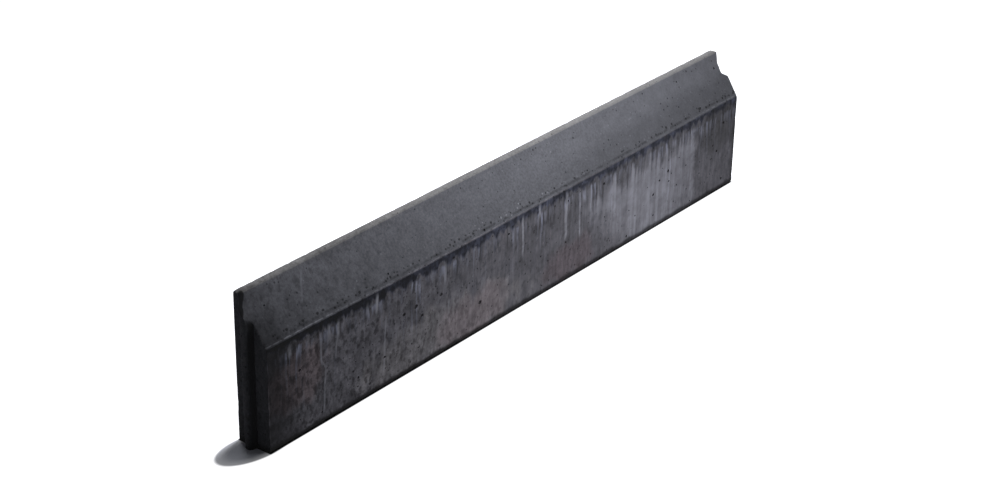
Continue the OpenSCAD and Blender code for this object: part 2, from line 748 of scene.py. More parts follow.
@dataclass(frozen=True)
class CastSurface:
    """What casting and handling leave on the stone: uneven faces, worn edges and air holes."""

    front_y: float
    pores: tuple[Pore, ...]
    relief_depth: float = 0.00035
    relief_scale: float = 28.0
    relief_detail: float = 3.0
    chip_depth: float = 0.0009
    chip_scale: float = 60.0
    chip_places: Ramp = Ramp(0.52, 0.72)
    hole_gap: float = 0.0065
    hole_density: float = 2600.0
    hole_small: float = 0.0006
    hole_large: float = 0.0024
    hole_rarity: float = 4.0
    hole_widths: tuple[float, float] = (0.6, 1.1)
    hole_flatness: float = 0.75
    hole_noise: Noise = Noise(9.0)
    hole_places: Ramp = Ramp(0.35, 0.7)
    hole_upward: Ramp = Ramp(0.2, 0.4, 1.0, 0.45)
    ball_subdivisions: int = 2
    pore_length: float = 1.35
    seed: int = 11
    width_seed: int = 3

    def inputs(self) -> dict[str, float]:
        """Lists the sizes that the tree takes as inputs.

        Returns:
            Each input's value, by its name.
        """
        return {
            "Relief Depth": self.relief_depth,
            "Relief Scale": self.relief_scale,
            "Chip Depth": self.chip_depth,
            "Chip Scale": self.chip_scale,
            "Hole Gap": self.hole_gap,
            "Hole Density": self.hole_density,
            "Hole Small": self.hole_small,
            "Hole Large": self.hole_large,
            "Hole Flatness": self.hole_flatness,
            "Seed": self.seed,
        }

    def tree(self) -> bpy.types.NodeTree:
        """Builds the Geometry Nodes tree of the cast surface.

        Returns:
            The tree, with its sizes as named inputs.
        """
        tree = bpy.data.node_groups.new("cast_surface", "GeometryNodeTree")
        tree.interface.new_socket("Geometry", in_out="OUTPUT", socket_type="NodeSocketGeometry")
        tree.interface.new_socket("Geometry", in_out="INPUT", socket_type="NodeSocketGeometry")
        for name in self.inputs():
            kind = "NodeSocketInt" if name == "Seed" else "NodeSocketFloat"
            tree.interface.new_socket(name, in_out="INPUT", socket_type=kind)
        tree.interface.new_socket("Concrete", in_out="INPUT", socket_type="NodeSocketMaterial")
        board = Board(tree)
        given = board.add("NodeGroupInput").outputs
        worn = self._worn(board, given)
        meshes = {"Mesh 1": worn, "Mesh 2": self._holes(board, given, worn)}
        cut = board.add("GeometryNodeMeshBoolean", meshes, operation="DIFFERENCE", solver="MANIFOLD")
        realized = board.add("GeometryNodeRealizeInstances", {"Geometry": cut.outputs["Mesh"]})
        finish = {"Geometry": realized.outputs["Geometry"], "Material": given["Concrete"]}
        dressed = board.add("GeometryNodeSetMaterial", finish)
        board.add("NodeGroupOutput", {"Geometry": dressed.outputs["Geometry"]})
        return tree

    def _worn(self, board: Board, given: bpy.types.NodeOutputs) -> Socket:
        """Sinks the faces a little, and the edges where they are rubbed and chipped.

        Args:
            board: The tree's board.
            given: The tree's inputs.

        Returns:
            The worn geometry.
        """
        place = board.add("GeometryNodeInputPosition").outputs[0]
        normal = board.add("GeometryNodeInputNormal").outputs[0]
        edge = board.add("GeometryNodeInputNamedAttribute", {"Name": "edge"}).outputs[0]
        rub = board.add("GeometryNodeInputNamedAttribute", {"Name": "rub"}).outputs[0]
        uneven = board.noise(place, given["Relief Scale"], self.relief_detail)
        relief = board.times(uneven, given["Relief Depth"])
        flake = self.chip_places.of(board, board.noise(place, given["Chip Scale"]))
        chip = board.times(flake, edge, given["Chip Depth"])
        inward = board.times(board.plus(relief, chip, rub), -1.0)
        moved = {"Geometry": given["Geometry"], "Offset": board.scaled(normal, inward)}
        return board.add("GeometryNodeSetPosition", moved).outputs[0]

    def _holes(self, board: Board, given: bpy.types.NodeOutputs, surface: Socket) -> Socket:
        """Makes the balls that sink the holes: scattered ones, crowded in places, and the large pores.

        Args:
            board: The tree's board.
            given: The tree's inputs.
            surface: The geometry that the holes are cut from.

        Returns:
            The balls, as one geometry.
        """
        place = board.add("GeometryNodeInputPosition").outputs[0]
        up = board.axes(board.add("GeometryNodeInputNormal").outputs[0])["Z"]
        crowded = self.hole_places.of(board, self.hole_noise.at(board, place))
        scatter = board.add(
            "GeometryNodeDistributePointsOnFaces",
            {
                "Mesh": surface,
                "Distance Min": given["Hole Gap"],
                "Density Max": given["Hole Density"],
                "Density Factor": board.times(crowded, self.hole_upward.of(board, up)),
                "Seed": given["Seed"],
            },
            distribute_method="POISSON",
        )
        ball_sizes = {"Radius": 1.0, "Subdivisions": self.ball_subdivisions}
        ball = board.add("GeometryNodeMeshIcoSphere", ball_sizes)
        marked = board.add(
            "GeometryNodeStoreNamedAttribute",
            {"Geometry": ball.outputs["Mesh"], "Name": "hole", "Value": 1.0},
            data_type="FLOAT",
            domain="FACE",
        ).outputs["Geometry"]
        balls = board.add(
            "GeometryNodeInstanceOnPoints",
            {
                "Points": scatter.outputs["Points"],
                "Instance": marked,
                "Rotation": scatter.outputs["Rotation"],
                "Scale": self._hole_size(board, given),
            },
        )
        joined = board.add("GeometryNodeJoinGeometry", {0: balls.outputs["Instances"]})
        for pore in self.pores:
            board.feed(joined.inputs[0], self._pore(board, marked, pore))
        return board.add("GeometryNodeRealizeInstances", {"Geometry": joined.outputs[0]}).outputs[0]

    def _hole_size(self, board: Board, given: bpy.types.NodeOutputs) -> Socket:
        """Draws lots for the sizes of the scattered holes, most of them small.

        Args:
            board: The tree's board.
            given: The tree's inputs.

        Returns:
            Half sizes of each hole along the face, across it and into it.
        """
        chance = board.add("FunctionNodeRandomValue", {"Seed": given["Seed"]}).outputs[RANDOM_RESULT]
        rare = board.math("POWER", chance, self.hole_rarity)
        span = board.minus(given["Hole Large"], given["Hole Small"])
        radius = board.plus(board.times(span, rare), given["Hole Small"])
        narrow, wide = self.hole_widths
        lots = {RANDOM_MIN: narrow, RANDOM_MAX: wide, "Seed": self.width_seed}
        width = board.times(radius, board.add("FunctionNodeRandomValue", lots).outputs[RANDOM_RESULT])
        depth = board.times(radius, given["Hole Flatness"])
        return board.add("ShaderNodeCombineXYZ", {"X": radius, "Y": width, "Z": depth}).outputs[0]

    def _pore(self, board: Board, ball: Socket, pore: Pore) -> Socket:
        """Sets one ball into the front face, turned by an angle that follows from its place.

        Args:
            board: The tree's board.
            ball: The ball's geometry.
            pore: Where the pore lies and how large it is.

        Returns:
            The ball in its place.
        """
        half_sizes = (pore.radius * self.pore_length, pore.radius * self.hole_flatness, pore.radius)
        moves = {
            "Geometry": ball,
            "Translation": (pore.x, self.front_y, pore.z),
            "Rotation": (0.0, pore.x, 0.0),
            "Scale": half_sizes,
        }
        return board.add("GeometryNodeTransform", moves).outputs["Geometry"]

    def apply(self, stone: bpy.types.Object, concrete: bpy.types.Material) -> None:
        """Gives a stone this surface and leaves it as a plain mesh.

        Args:
            stone: The stone, with its edge attributes.
            concrete: The material to set at the end of the tree.
        """
        modifier = stone.modifiers.new("cast_surface", "NODES")
        tree = self.tree()
        modifier.node_group = tree
        values = {**self.inputs(), "Concrete": concrete}
        for item in tree.interface.items_tree:
            if item.in_out == "INPUT" and item.name in values:
                modifier[item.identifier] = values[item.name]
        bpy.context.view_layer.update()
        graph = bpy.context.evaluated_depsgraph_get()
        mesh = bpy.data.meshes.new_from_object(stone.evaluated_get(graph), depsgraph=graph)
        stone.modifiers.remove(modifier)
        stone.data = mesh
        mesh.name = PIECE


@dataclass(frozen=True)
class Spot:
    """Sockets that tell where a shaded point lies on the stone.

    Attributes:
        place: Object coordinates.
        x: Place along the stone.
        y: Place across it.
        z: Height above the base.
        rise: Height above the edge between slope and front, less than 0 below it.
        end: Mask of the two ends.
        hole: Mask of the air holes.
        front: Mask of the upright front.
        forward: Mask of front and slope.
    """

    place: Socket
    x: Socket
    y: Socket
    z: Socket
    rise: Socket
    end: Socket
    hole: Socket
    front: Socket
    forward: Socket


@dataclass(frozen=True)
class Swing:
    """A noise that makes a colour swing by a depth about its own tone."""

    noise: Noise
    depth: float
    start: float = 0.25
    end: float = 0.75

    def factor(self, board: Board, where: Socket, boldness: Socket) -> Socket:
        """Makes the factor for the colour.

        Args:
            board: The material's board.
            where: Object coordinates.
            boldness: How strongly the swing shows.

        Returns:
            The factor, about 1.
        """
        noise = self.noise.at(board, where)
        swing = board.step(noise, self.start, self.end, -self.depth, self.depth)
        return board.plus(1.0, board.times(swing, boldness))


@dataclass(frozen=True)
class CastGrain:
    """Sand and clouds of a cast concrete skin, with its pin holes as dots of painted shade."""

    clouds: Swing = Swing(Noise(7.0, 3.0), 0.15)
    mottle: Swing = Swing(Noise(48.0, 4.0, 0.65), 0.30)
    sand: Swing = Swing(Noise(300.0, 3.0, 0.7), 0.22)
    streaks: Swing = Swing(Noise((170.0, 0.0, 24.0), 3.0), 0.17)
    blotches: Noise = Noise((150.0, 150.0, 105.0), 5.0)
    blotch_places: Ramp = Ramp(0.46, 0.68)
    blotch_tone: Ramp = Ramp(0.0, 1.5, 1.0, 0.42)
    # Pin holes, drawn as dark dots of painted shade with no hollow in the mesh
    pins: Dots = Dots(170.0, 0.17, 0.3)
    pin_hole_shade: float = 0.4
    specks: Dots = Dots(240.0, 0.06, 0.3)
    speck_tone: float = 1.5
    relief: Noise = Noise(480.0, 4.0, 0.65)

    def tone(self, board: Board, spot: Spot, boldness: Socket, sandy: Socket) -> Socket:
        """Makes the grain's factor for the paste's colour.

        Args:
            board: The material's board.
            spot: Where on the stone.
            boldness: How strongly clouds and blotches show, about 1.
            sandy: How strongly the sand shows, about 1.

        Returns:
            The factor, about 1.
        """
        place = spot.place
        dark = self.blotch_places.of(board, self.blotches.at(board, place))
        return board.times(
            self.clouds.factor(board, place, boldness),
            self.mottle.factor(board, place, boldness),
            self.sand.factor(board, place, sandy),
            self.streaks.factor(board, place, spot.front),
            self.blotch_tone.of(board, board.times(dark, boldness)),
            board.tinted(self.pins.mask(board, place), self.pin_hole_shade),
            board.tinted(self.specks.mask(board, place), self.speck_tone),
        )


@dataclass(frozen=True)
class Flow:
    """Sockets that tell how water ran down the front.

    Attributes:
        place: Object coordinates, swayed along the stone.
        x: Swayed place along the stone.
        drop: Depth below the edge between slope and front.
        fine: Fine upright streaks.
        broad: Broad upright streaks.
        column: Upright streaks of the veil.
        patchy: Patches that break the streaks up.
    """

    place: Socket
    x: Socket
    drop: Socket
    fine: Socket
    broad: Socket
    column: Socket
    patchy: Socket


@dataclass(frozen=True)
class LimeSpring:
    """A stretch of the edge between slope and front from which lime runs down."""

    x: float
    half_length: float
    gain: float
    core: float = 0.4
    fringe: float = 1.3

    def mask(self, board: Board, x: Socket) -> Socket:
        """Strength of the run along the stone, full in the stretch's middle."""
        border = Ramp(self.half_length * self.core, self.half_length * self.fringe, self.gain, 0.0)
        return border.of(board, board.unsigned(board.plus(x, -self.x)))


@dataclass(frozen=True)
class LimeThread:
    """One long thin run of lime, with the place along the stone and the drop of both its ends."""

    top: tuple[float, float]
    bottom: tuple[float, float]
    strength: float
    half_width: float = 0.0019
    core: float = 0.3
    fringe: float = 1.2
    fade: float = 0.012

    def mask(self, board: Board, flow: Flow) -> Socket:
        """Makes a mask of the run, which fades towards both its ends.

        Args:
            board: The material's board.
            flow: How water ran there.

        Returns:
            The run's strength.
        """
        top_x, top_drop = self.top
        bottom_x, bottom_drop = self.bottom
        lean = (bottom_x - top_x) / (bottom_drop - top_drop)
        middle = board.plus(board.times(flow.drop, lean), top_x - lean * top_drop)
        away = board.unsigned(board.minus(flow.x, middle))
        border = Ramp(self.half_width * self.core, self.half_width * self.fringe, self.strength, 0.0)
        return board.times(
            border.of(board, away),
            board.step(flow.drop, top_drop, top_drop + self.fade),
            board.step(flow.drop, bottom_drop - self.fade, bottom_drop, 1.0, 0.0),
        )


@dataclass(frozen=True)
class LimeRuns:
    """Short pale heads just below the edge between slope and front, and thin tails below them."""

    springs: tuple[LimeSpring, ...]
    stray: float = 0.16
    start: float = 0.0065
    ragged: float = 0.016
    ragged_noise: Noise = Noise((110.0, 0.0, 0.0), 3.0)
    begin: Ramp = Ramp(-0.001, 0.004)
    head_lines: Ramp = Ramp(0.46, 0.57)
    head_length: float = 0.024
    head_lengths: Ramp = Ramp(0.3, 0.7, 0.5, 1.6)
    head_fade: Ramp = Ramp(0.25, 1.0, 1.0, 0.0)
    head_strength: float = 1.05
    tail_lines: Ramp = Ramp(0.48, 0.64)
    tail_places: Ramp = Ramp(0.40, 0.58)
    tail_fade: Ramp = Ramp(0.022, 0.110, 1.0, 0.0)
    tail_strength: float = 0.48
    broken: Ramp = Ramp(0.38, 0.58, 0.42, 1.0)

    def mask(self, board: Board, x: Socket, flow: Flow) -> Socket:
        """Makes a mask of heads and tails, both broken up in patches.

        Args:
            board: The material's board.
            x: Place along the stone.
            flow: How water ran there.

        Returns:
            The strength of the lime.
        """
        crowd: Value = self.stray
        for spring in self.springs:
            crowd = board.larger(crowd, spring.mask(board, x))
        ragged = board.times(self.ragged_noise.at(board, flow.place), self.ragged)
        into = board.minus(flow.drop, board.plus(ragged, self.start))
        head_end = board.times(self.head_lengths.of(board, flow.broad), self.head_length)
        head_fade = self.head_fade.of(board, board.math("DIVIDE", into, head_end))
        heads = board.times(self.head_lines.of(board, flow.fine), head_fade, self.head_strength)
        tails = board.times(
            self.tail_lines.of(board, flow.fine),
            self.tail_places.of(board, flow.broad),
            self.tail_fade.of(board, into),
            self.tail_strength,
        )
        begin = self.begin.of(board, into)
        broken = self.broken.of(board, flow.patchy)
        return board.times(board.larger(heads, tails), begin, crowd, broken)


@dataclass(frozen=True)
class LimeVeil:
    """One broad veil of lime on the far half of the front.

    Its streaks start at heights of their own, below a bare strip, and close up away from its border.
    """

    top_border: Ramp = Ramp(0.21, 0.30, -0.031, -0.026)
    ragged: float = 0.070
    near_border: Ramp = Ramp(-0.03, 0.150)
    near_x: float = 0.044
    near_lean: float = 1.25
    far_x: float = 0.398
    far_ragged: float = 0.03
    far_border: Ramp = Ramp(-0.006, 0.006, 1.0, 0.0)
    far_share: Ramp = Ramp(0.31, 0.398, 1.0, 0.80)
    top_share: Ramp = Ramp(0.008, 0.020, 0.0, 0.30)
    body_share: Ramp = Ramp(-0.014, 0.026, 0.0, 0.70)
    corner_lean: float = 0.9
    corner_share: Ramp = Ramp(0.36, 0.48, 1.0, 0.66)
    fine_weight: float = 0.3
    column_weight: float = 0.45
    patch_weight: float = 0.25
    contrast: float = 1.5
    closed: Ramp = Ramp(0.2, 0.95)
    present: Ramp = Ramp(0.0, 0.1)
    fine_tone: Ramp = Ramp(0.3, 0.66, 0.86, 1.06)
    column_tone: Ramp = Ramp(0.34, 0.64, 0.66, 1.12)
    patch_tone: Ramp = Ramp(0.35, 0.65, 0.74, 1.18)
    strength: float = 0.45

    def mask(self, board: Board, flow: Flow) -> Socket:
        """Makes a mask of the veil.

        Args:
            board: The material's board.
            flow: How water ran there.

        Returns:
            The strength of the lime.
        """
        amount = self._amount(board, flow)
        pattern = board.plus(
            board.times(flow.fine, self.fine_weight),
            board.times(flow.column, self.column_weight),
            board.times(flow.patchy, self.patch_weight),
            -NOISE_MIDDLE,
        )
        closed = self.closed.of(board, board.plus(amount, board.times(pattern, self.contrast)))
        stop = board.plus(board.times(board.centred(flow.patchy), self.far_ragged), self.far_x)
        ends = board.times(
            self.far_border.of(board, board.minus(flow.x, stop)),
            self.far_share.of(board, flow.x),
        )
        streaks = board.times(
            self.fine_tone.of(board, flow.fine),
            self.column_tone.of(board, flow.column),
            self.patch_tone.of(board, flow.patchy),
        )
        return board.times(closed, self.present.of(board, amount), ends, streaks, self.strength)

    def _amount(self, board: Board, flow: Flow) -> Socket:
        """Works out how far the veil has closed up, before its streaks break it.

        Args:
            board: The material's board.
            flow: How water ran there.

        Returns:
            The amount, 0 outside the veil and 1 well inside it.
        """
        uneven = board.times(board.centred(flow.column), self.ragged)
        below = board.plus(flow.drop, uneven, self.top_border.of(board, flow.x))
        begin = board.plus(board.times(below, self.near_lean), self.near_x)
        inside = self.near_border.of(board, board.minus(flow.x, begin))
        share = board.plus(self.top_share.of(board, flow.drop), self.body_share.of(board, below))
        towards_corner = board.plus(flow.x, board.times(flow.drop, self.corner_lean))
        return board.times(inside, share, self.corner_share.of(board, towards_corner))


@dataclass(frozen=True)
class LimeBloom:
    """Pale lime that water drew down the front: heads with tails, single threads and one broad veil."""

    runs: LimeRuns
    threads: tuple[LimeThread, ...]
    veil: LimeVeil
    run_colour: Colour = (0.325, 0.345, 0.460)
    veil_colour: Colour = (0.345, 0.350, 0.408)
    sway: float = 0.007
    sway_noise: Noise = Noise((35.0, 0.0, 30.0), 3.0)
    fine: Noise = Noise((230.0, 0.0, 12.0), 3.0)
    broad: Noise = Noise((80.0, 0.0, 6.0), 3.0)
    columns: Noise = Noise((95.0, 0.0, 4.0), 5.0)
    patches: Noise = Noise(55.0, 4.0, 0.6)
    thread_broken: Ramp = Ramp(0.36, 0.60, 0.5, 1.1)

    def cover(self, board: Board, paste: Socket, spot: Spot, bare: Socket) -> Socket:
        """Lays the lime over a colour.

        Args:
            board: The material's board.
            paste: The colour below the lime.
            spot: Where on the stone.
            bare: Mask of the places that take lime.

        Returns:
            The colour with the lime on it.
        """
        flow = self._flow(board, spot)
        film = self.veil.mask(board, flow)
        broken = self.thread_broken.of(board, flow.patchy)
        for thread in self.threads:
            film = board.larger(film, board.times(thread.mask(board, flow), broken))
        runs = self.runs.mask(board, spot.x, flow)
        veiled = board.mix(board.times(film, bare), paste, opaque(self.veil_colour))
        return board.mix(board.times(runs, bare), veiled, opaque(self.run_colour))

    def _flow(self, board: Board, spot: Spot) -> Flow:
        """Works out how water ran down the front.

        Args:
            board: The material's board.
            spot: Where on the stone.

        Returns:
            The sockets of the flow.
        """
        drift = board.times(board.centred(self.sway_noise.at(board, spot.place)), self.sway)
        aside = board.add("ShaderNodeCombineXYZ", {"X": drift}).outputs[0]
        swayed = board.vector("ADD", spot.place, aside)
        return Flow(
            place=swayed,
            x=board.plus(spot.x, drift),
            drop=board.times(spot.rise, -1.0),
            fine=self.fine.at(board, swayed),
            broad=self.broad.at(board, swayed),
            column=self.columns.at(board, swayed),
            patchy=self.patches.at(board, spot.place),
        )


@dataclass(frozen=True)
class DustAndLightPatch:
    """A front patch of dust, damp or painted floor light: its middle, half sizes and colour."""

    x: float
    z: float
    half_length: float
    half_height: float
    colour: Colour

    def mask(self, board: Board, spot: Spot) -> Socket:
        """Makes a mask of the patch.

        Args:
            board: The material's board.
            spot: Where on the stone.

        Returns:
            The mask, 1 in the patch's middle.
        """
        along = board.times(board.plus(spot.x, -self.x), 1.0 / self.half_length)
        up = board.times(board.plus(spot.z, -self.z), 1.0 / self.half_height)
        away = board.plus(board.times(along, along), board.times(up, up))
        return board.between(away, 1.0, 0.0)


@dataclass(frozen=True)
class DustAndFloorLight:
    """Dust and damp dried on the front in broken patches, with painted floor light low down."""

    patches: tuple[DustAndLightPatch, ...]
    broken: Noise = Noise((36.0, 36.0, 22.0), 4.0)
    broken_depth: float = 2.2
    shown: Ramp = Ramp(0.25, 0.95)
    strength: float = 0.8

    def cover(self, board: Board, paste: Socket, spot: Spot) -> Socket:
        """Lays the patches over a colour.

        Args:
            board: The material's board.
            paste: The colour below the patches.
            spot: Where on the stone.

        Returns:
            The colour with the patches on it.
        """
        broken = board.times(board.centred(self.broken.at(board, spot.place)), self.broken_depth)
        colour = paste
        for patch in self.patches:
            reach = board.plus(patch.mask(board, spot), broken)
            share = board.times(self.shown.of(board, reach), spot.front, self.strength)
            colour = board.mix(share, colour, opaque(patch.colour))
        return colour


@dataclass(frozen=True)
class Arris:
    """What shows along the edge between slope and front.

    A rubbed light line lies on the edge, with pits in painted shade and crumbs above it. A bare dark
    band and wet drips hang below it, and painted shade darkens the far half about the edge. Heights are
    taken from the worn edge, which lies higher at the stone's ends.
    """

    sag: Ramp = Ramp(0.20, 0.44, -0.0007, 0.0018)
    line: Strip = Strip(-0.0005, 0.0009, 0.0005)
    line_noise: Noise = Noise(130.0, 3.0)
    line_rubbed: Ramp = Ramp(0.36, 0.56, 0.1, 1.0)
    line_near: Ramp = Ramp(-0.46, -0.32, 2.9, 1.0)
    line_middle: Ramp = Ramp(0.0, 0.2, 1.55, 1.2)
    line_far: Ramp = Ramp(0.34, 0.47, high=1.65)
    band_noise: Noise = Noise((70.0, 0.0, 0.0), 4.0)
    band_wander: Ramp = Ramp(0.3, 0.7, 0.45, 1.55)
    band_depth_near: Ramp = Ramp(-0.47, -0.38, -0.0090, -0.0140)
    band_depth_far: Ramp = Ramp(-0.09, 0.01, high=-0.0110)
    band_start: Ramp = Ramp(-0.0026, -0.0012, 1.0, 0.0)
    band_end: Ramp = Ramp(0.6, 1.25, 1.0, 0.0)
    band_tone: Ramp = Ramp(-0.45, 0.0, 0.08, 0.42)
    band_tone_far: Ramp = Ramp(-0.03, 0.05, 0.0, 0.18)
    spots: Noise = Noise(95.0, 3.0)
    spot_tone: Ramp = Ramp(0.42, 0.58, 0.55, 1.3)
    dip: Strip = Strip(0.0026, 0.0054, 0.0010)
    dip_noise: Noise = Noise(110.0, 3.0)
    dip_places: Ramp = Ramp(0.40, 0.56, 0.25, 1.0)
    dip_tone: float = 0.62
    # Pits above the edge, drawn as dark dots of painted shade with no hollow in the mesh
    pit_strip: Strip = Strip(0.0026, 0.0085, 0.0014)
    pits: Dots = Dots(185.0, 0.8, 0.48)
    pit_shift: Place = (3.1, 1.7, 0.4)
    pit_shade: float = 0.27
    crumb_strip: Strip = Strip(0.0020, 0.014, 0.0030)
    crumbs: Dots = Dots(200.0, 0.30, 0.42)
    crumb_middle: float = -0.03
    crumb_spread: Ramp = Ramp(0.03, 0.12, 1.0, 0.35)
    crumb_gain: float = 2.1
    slope_shade: Ramp = Ramp(0.0, 0.050, 0.82, 1.04)
    # Painted shade over the far half, about the edge
    far_shade_along: Ramp = Ramp(-0.02, 0.22)
    far_shade_below: Ramp = Ramp(-0.085, -0.045)
    far_shade_above: Ramp = Ramp(0.015, 0.045, 1.0, 0.15)
    far_shade_tone: float = 0.80
    drips: Noise = Noise((85.0, 0.0, 26.0), 4.0)
    drip_lines: Ramp = Ramp(0.50, 0.62)
    drip_reach: Ramp = Ramp(-0.062, -0.0186)
    drip_start: Ramp = Ramp(-0.004, 0.0, 1.0, 0.0)
    drip_tone: float = 0.55

    def above(self, board: Board, spot: Spot) -> Socket:
        """Height above the worn edge."""
        return board.minus(spot.rise, self.sag.of(board, board.unsigned(spot.x)))

    def band(self, board: Board, spot: Spot, above: Socket) -> Socket:
        """Makes a mask of the dark band below the edge, with a ragged lower border.

        Args:
            board: The material's board.
            spot: Where on the stone.
            above: Height above the worn edge.

        Returns:
            The mask.
        """
        wander = self.band_wander.of(board, self.band_noise.at(board, spot.place))
        near_depth = self.band_depth_near.of(board, spot.x)
        depth = self.band_depth_far.of(board, spot.x, low=near_depth)
        into = board.math("DIVIDE", above, board.times(wander, depth))
        return board.times(self.band_start.of(board, above), self.band_end.of(board, into))

    def tone(self, board: Board, spot: Spot, above: Socket, band: Socket) -> Socket:
        """Makes the factor for the colour of slope and front beside the edge.

        Args:
            board: The material's board.
            spot: Where on the stone.
            above: Height above the worn edge.
            band: Mask of the dark band.

        Returns:
            The factor.
        """
        band_tone = board.plus(self.band_tone.of(board, spot.x), self.band_tone_far.of(board, spot.x))
        spots = self.spot_tone.of(board, self.spots.at(board, spot.place))
        return board.times(
            self._line(board, spot, above),
            board.tinted(band, board.times(band_tone, spots)),
            self._pits(board, spot, above),
            self._crumbs(board, spot, above),
            self.slope_shade.of(board, above),
            self._far_shade(board, spot, above),
            self._drips(board, spot, above),
        )

    def _line(self, board: Board, spot: Spot, above: Socket) -> Socket:
        """Makes the factor of the rubbed line, lightest at the stone's ends.

        Args:
            board: The material's board.
            spot: Where on the stone.
            above: Height above the worn edge.

        Returns:
            The factor.
        """
        rubbed = self.line_rubbed.of(board, self.line_noise.at(board, spot.place))
        line = board.times(self.line.mask(board, above), rubbed)
        gain = board.larger(self.line_near.of(board, spot.x), self.line_middle.of(board, spot.x))
        return board.tinted(line, self.line_far.of(board, spot.x, low=gain))

    def _pits(self, board: Board, spot: Spot, above: Socket) -> Socket:
        """Makes the factor of the pits, dots of painted shade, and of the broken dip above the line.

        Args:
            board: The material's board.
            spot: Where on the stone.
            above: Height above the worn edge.

        Returns:
            The factor.
        """
        shifted = board.vector("ADD", spot.place, self.pit_shift)
        pits = board.times(self.pits.mask(board, shifted), self.pit_strip.mask(board, above))
        broken = self.dip_places.of(board, self.dip_noise.at(board, spot.place))
        dip = board.times(self.dip.mask(board, above), broken)
        return board.times(board.tinted(pits, self.pit_shade), board.tinted(dip, self.dip_tone))

    def _crumbs(self, board: Board, spot: Spot, above: Socket) -> Socket:
        """Makes the factor of the light crumbs above the line, most of them in mid-length.

        Args:
            board: The material's board.
            spot: Where on the stone.
            above: Height above the worn edge.

        Returns:
            The factor.
        """
        away = board.unsigned(board.plus(spot.x, -self.crumb_middle))
        strewn = board.times(self.crumb_strip.mask(board, above), self.crumb_spread.of(board, away))
        return board.tinted(board.times(self.crumbs.mask(board, spot.place), strewn), self.crumb_gain)

    def _far_shade(self, board: Board, spot: Spot, above: Socket) -> Socket:
        """Makes the painted shade that darkens the far half about the edge."""
        beside = board.times(self.far_shade_below.of(board, above), self.far_shade_above.of(board, above))
        return board.tinted(board.times(self.far_shade_along.of(board, spot.x), beside), self.far_shade_tone)

    def _drips(self, board: Board, spot: Spot, above: Socket) -> Socket:
        """Makes the factor of the dark drips below the edge.

        Args:
            board: The material's board.
            spot: Where on the stone.
            above: Height above the worn edge.

        Returns:
            The factor.
        """
        lines = self.drip_lines.of(board, self.drips.at(board, spot.place))
        drips = board.times(lines, self.drip_reach.of(board, above), self.drip_start.of(board, above))
        return board.tinted(drips, self.drip_tone)


@dataclass(frozen=True)
class FootShade:
    """Painted shade: a dark strip along the ground, where the base meets the floor."""

    tone: Ramp = Ramp(-0.20, 0.05, 0.08, 0.18)
    wander_noise: Noise = Noise((40.0, 40.0, 0.0))
    wander: Ramp = Ramp(0.3, 0.7, 0.8, 1.2)
    border: Ramp = Ramp(0.00368, 0.0092, high=1.0)

    def factor(self, board: Board, spot: Spot) -> Socket:
        """Makes the factor of the painted shade near the ground."""
        wander = self.wander.of(board, self.wander_noise.at(board, spot.place))
        return self.border.of(board, board.times(spot.z, wander), low=self.tone.of(board, spot.x))


@dataclass(frozen=True)
class PaintedEndShade:
    """Painted shade on front and slope at the ends, and a painted highlight down the near corner.

    Near places are measured from the tongue's shoulder and far ones from the groove's.
    """

    near_front: Ramp = Ramp(0.0, 0.078, 0.26, 1.0)
    far_front: Ramp = Ramp(-0.010, 0.0, 1.0, 0.28)
    # A painted highlight down the corner beside the tongue's shoulder
    corner: Ramp = Ramp(0.0018, 0.0036, 1.0, 0.0)
    corner_top: Ramp = Ramp(-0.060, -0.045, 1.0, 0.3)
    corner_foot: Ramp = Ramp(-0.126, -0.112)
    corner_highlight: float = 2.5
    near_slope: Ramp = Ramp(0.0, 0.055, high=1.0)
    near_slope_tone: Ramp = Ramp(0.008, 0.045, 0.40, 0.80)
    middle_slope: Ramp = Ramp(-0.05, 0.12, 1.0, 0.94)
    far_slope_low: Ramp = Ramp(-0.240, 0.0, 1.0, 0.90)
    far_slope_top: Ramp = Ramp(-0.075, 0.0, 1.0, 0.82)
    far_slope: Ramp = Ramp(0.010, 0.048)

    def factor(self, board: Board, spot: Spot, shape: StoneShape) -> Socket:
        """Makes the painted shade and highlight for front and slope.

        Args:
            board: The material's board.
            spot: Where on the stone.
            shape: The stone's shape.

        Returns:
            The factor.
        """
        tongue_x, groove_x = shape.shoulders
        upright = board.times(self.corner_top.of(board, spot.rise), self.corner_foot.of(board, spot.rise))
        corner = board.times(self.corner.moved(tongue_x).of(board, spot.x), upright)
        on_front = board.times(
            self.near_front.moved(tongue_x).of(board, spot.x),
            board.tinted(corner, self.corner_highlight),
            self.far_front.moved(groove_x).of(board, spot.x),
        )
        near_tone = self.near_slope_tone.of(board, spot.rise)
        far_low = self.far_slope_low.moved(groove_x).of(board, spot.x)
        far_top = self.far_slope_top.moved(groove_x).of(board, spot.x)
        on_slope = board.times(
            self.near_slope.moved(tongue_x).of(board, spot.x, low=near_tone),
            self.middle_slope.of(board, spot.x),
            self.far_slope.of(board, spot.rise, far_low, far_top),
        )
        return board.between(spot.front, on_slope, on_front)


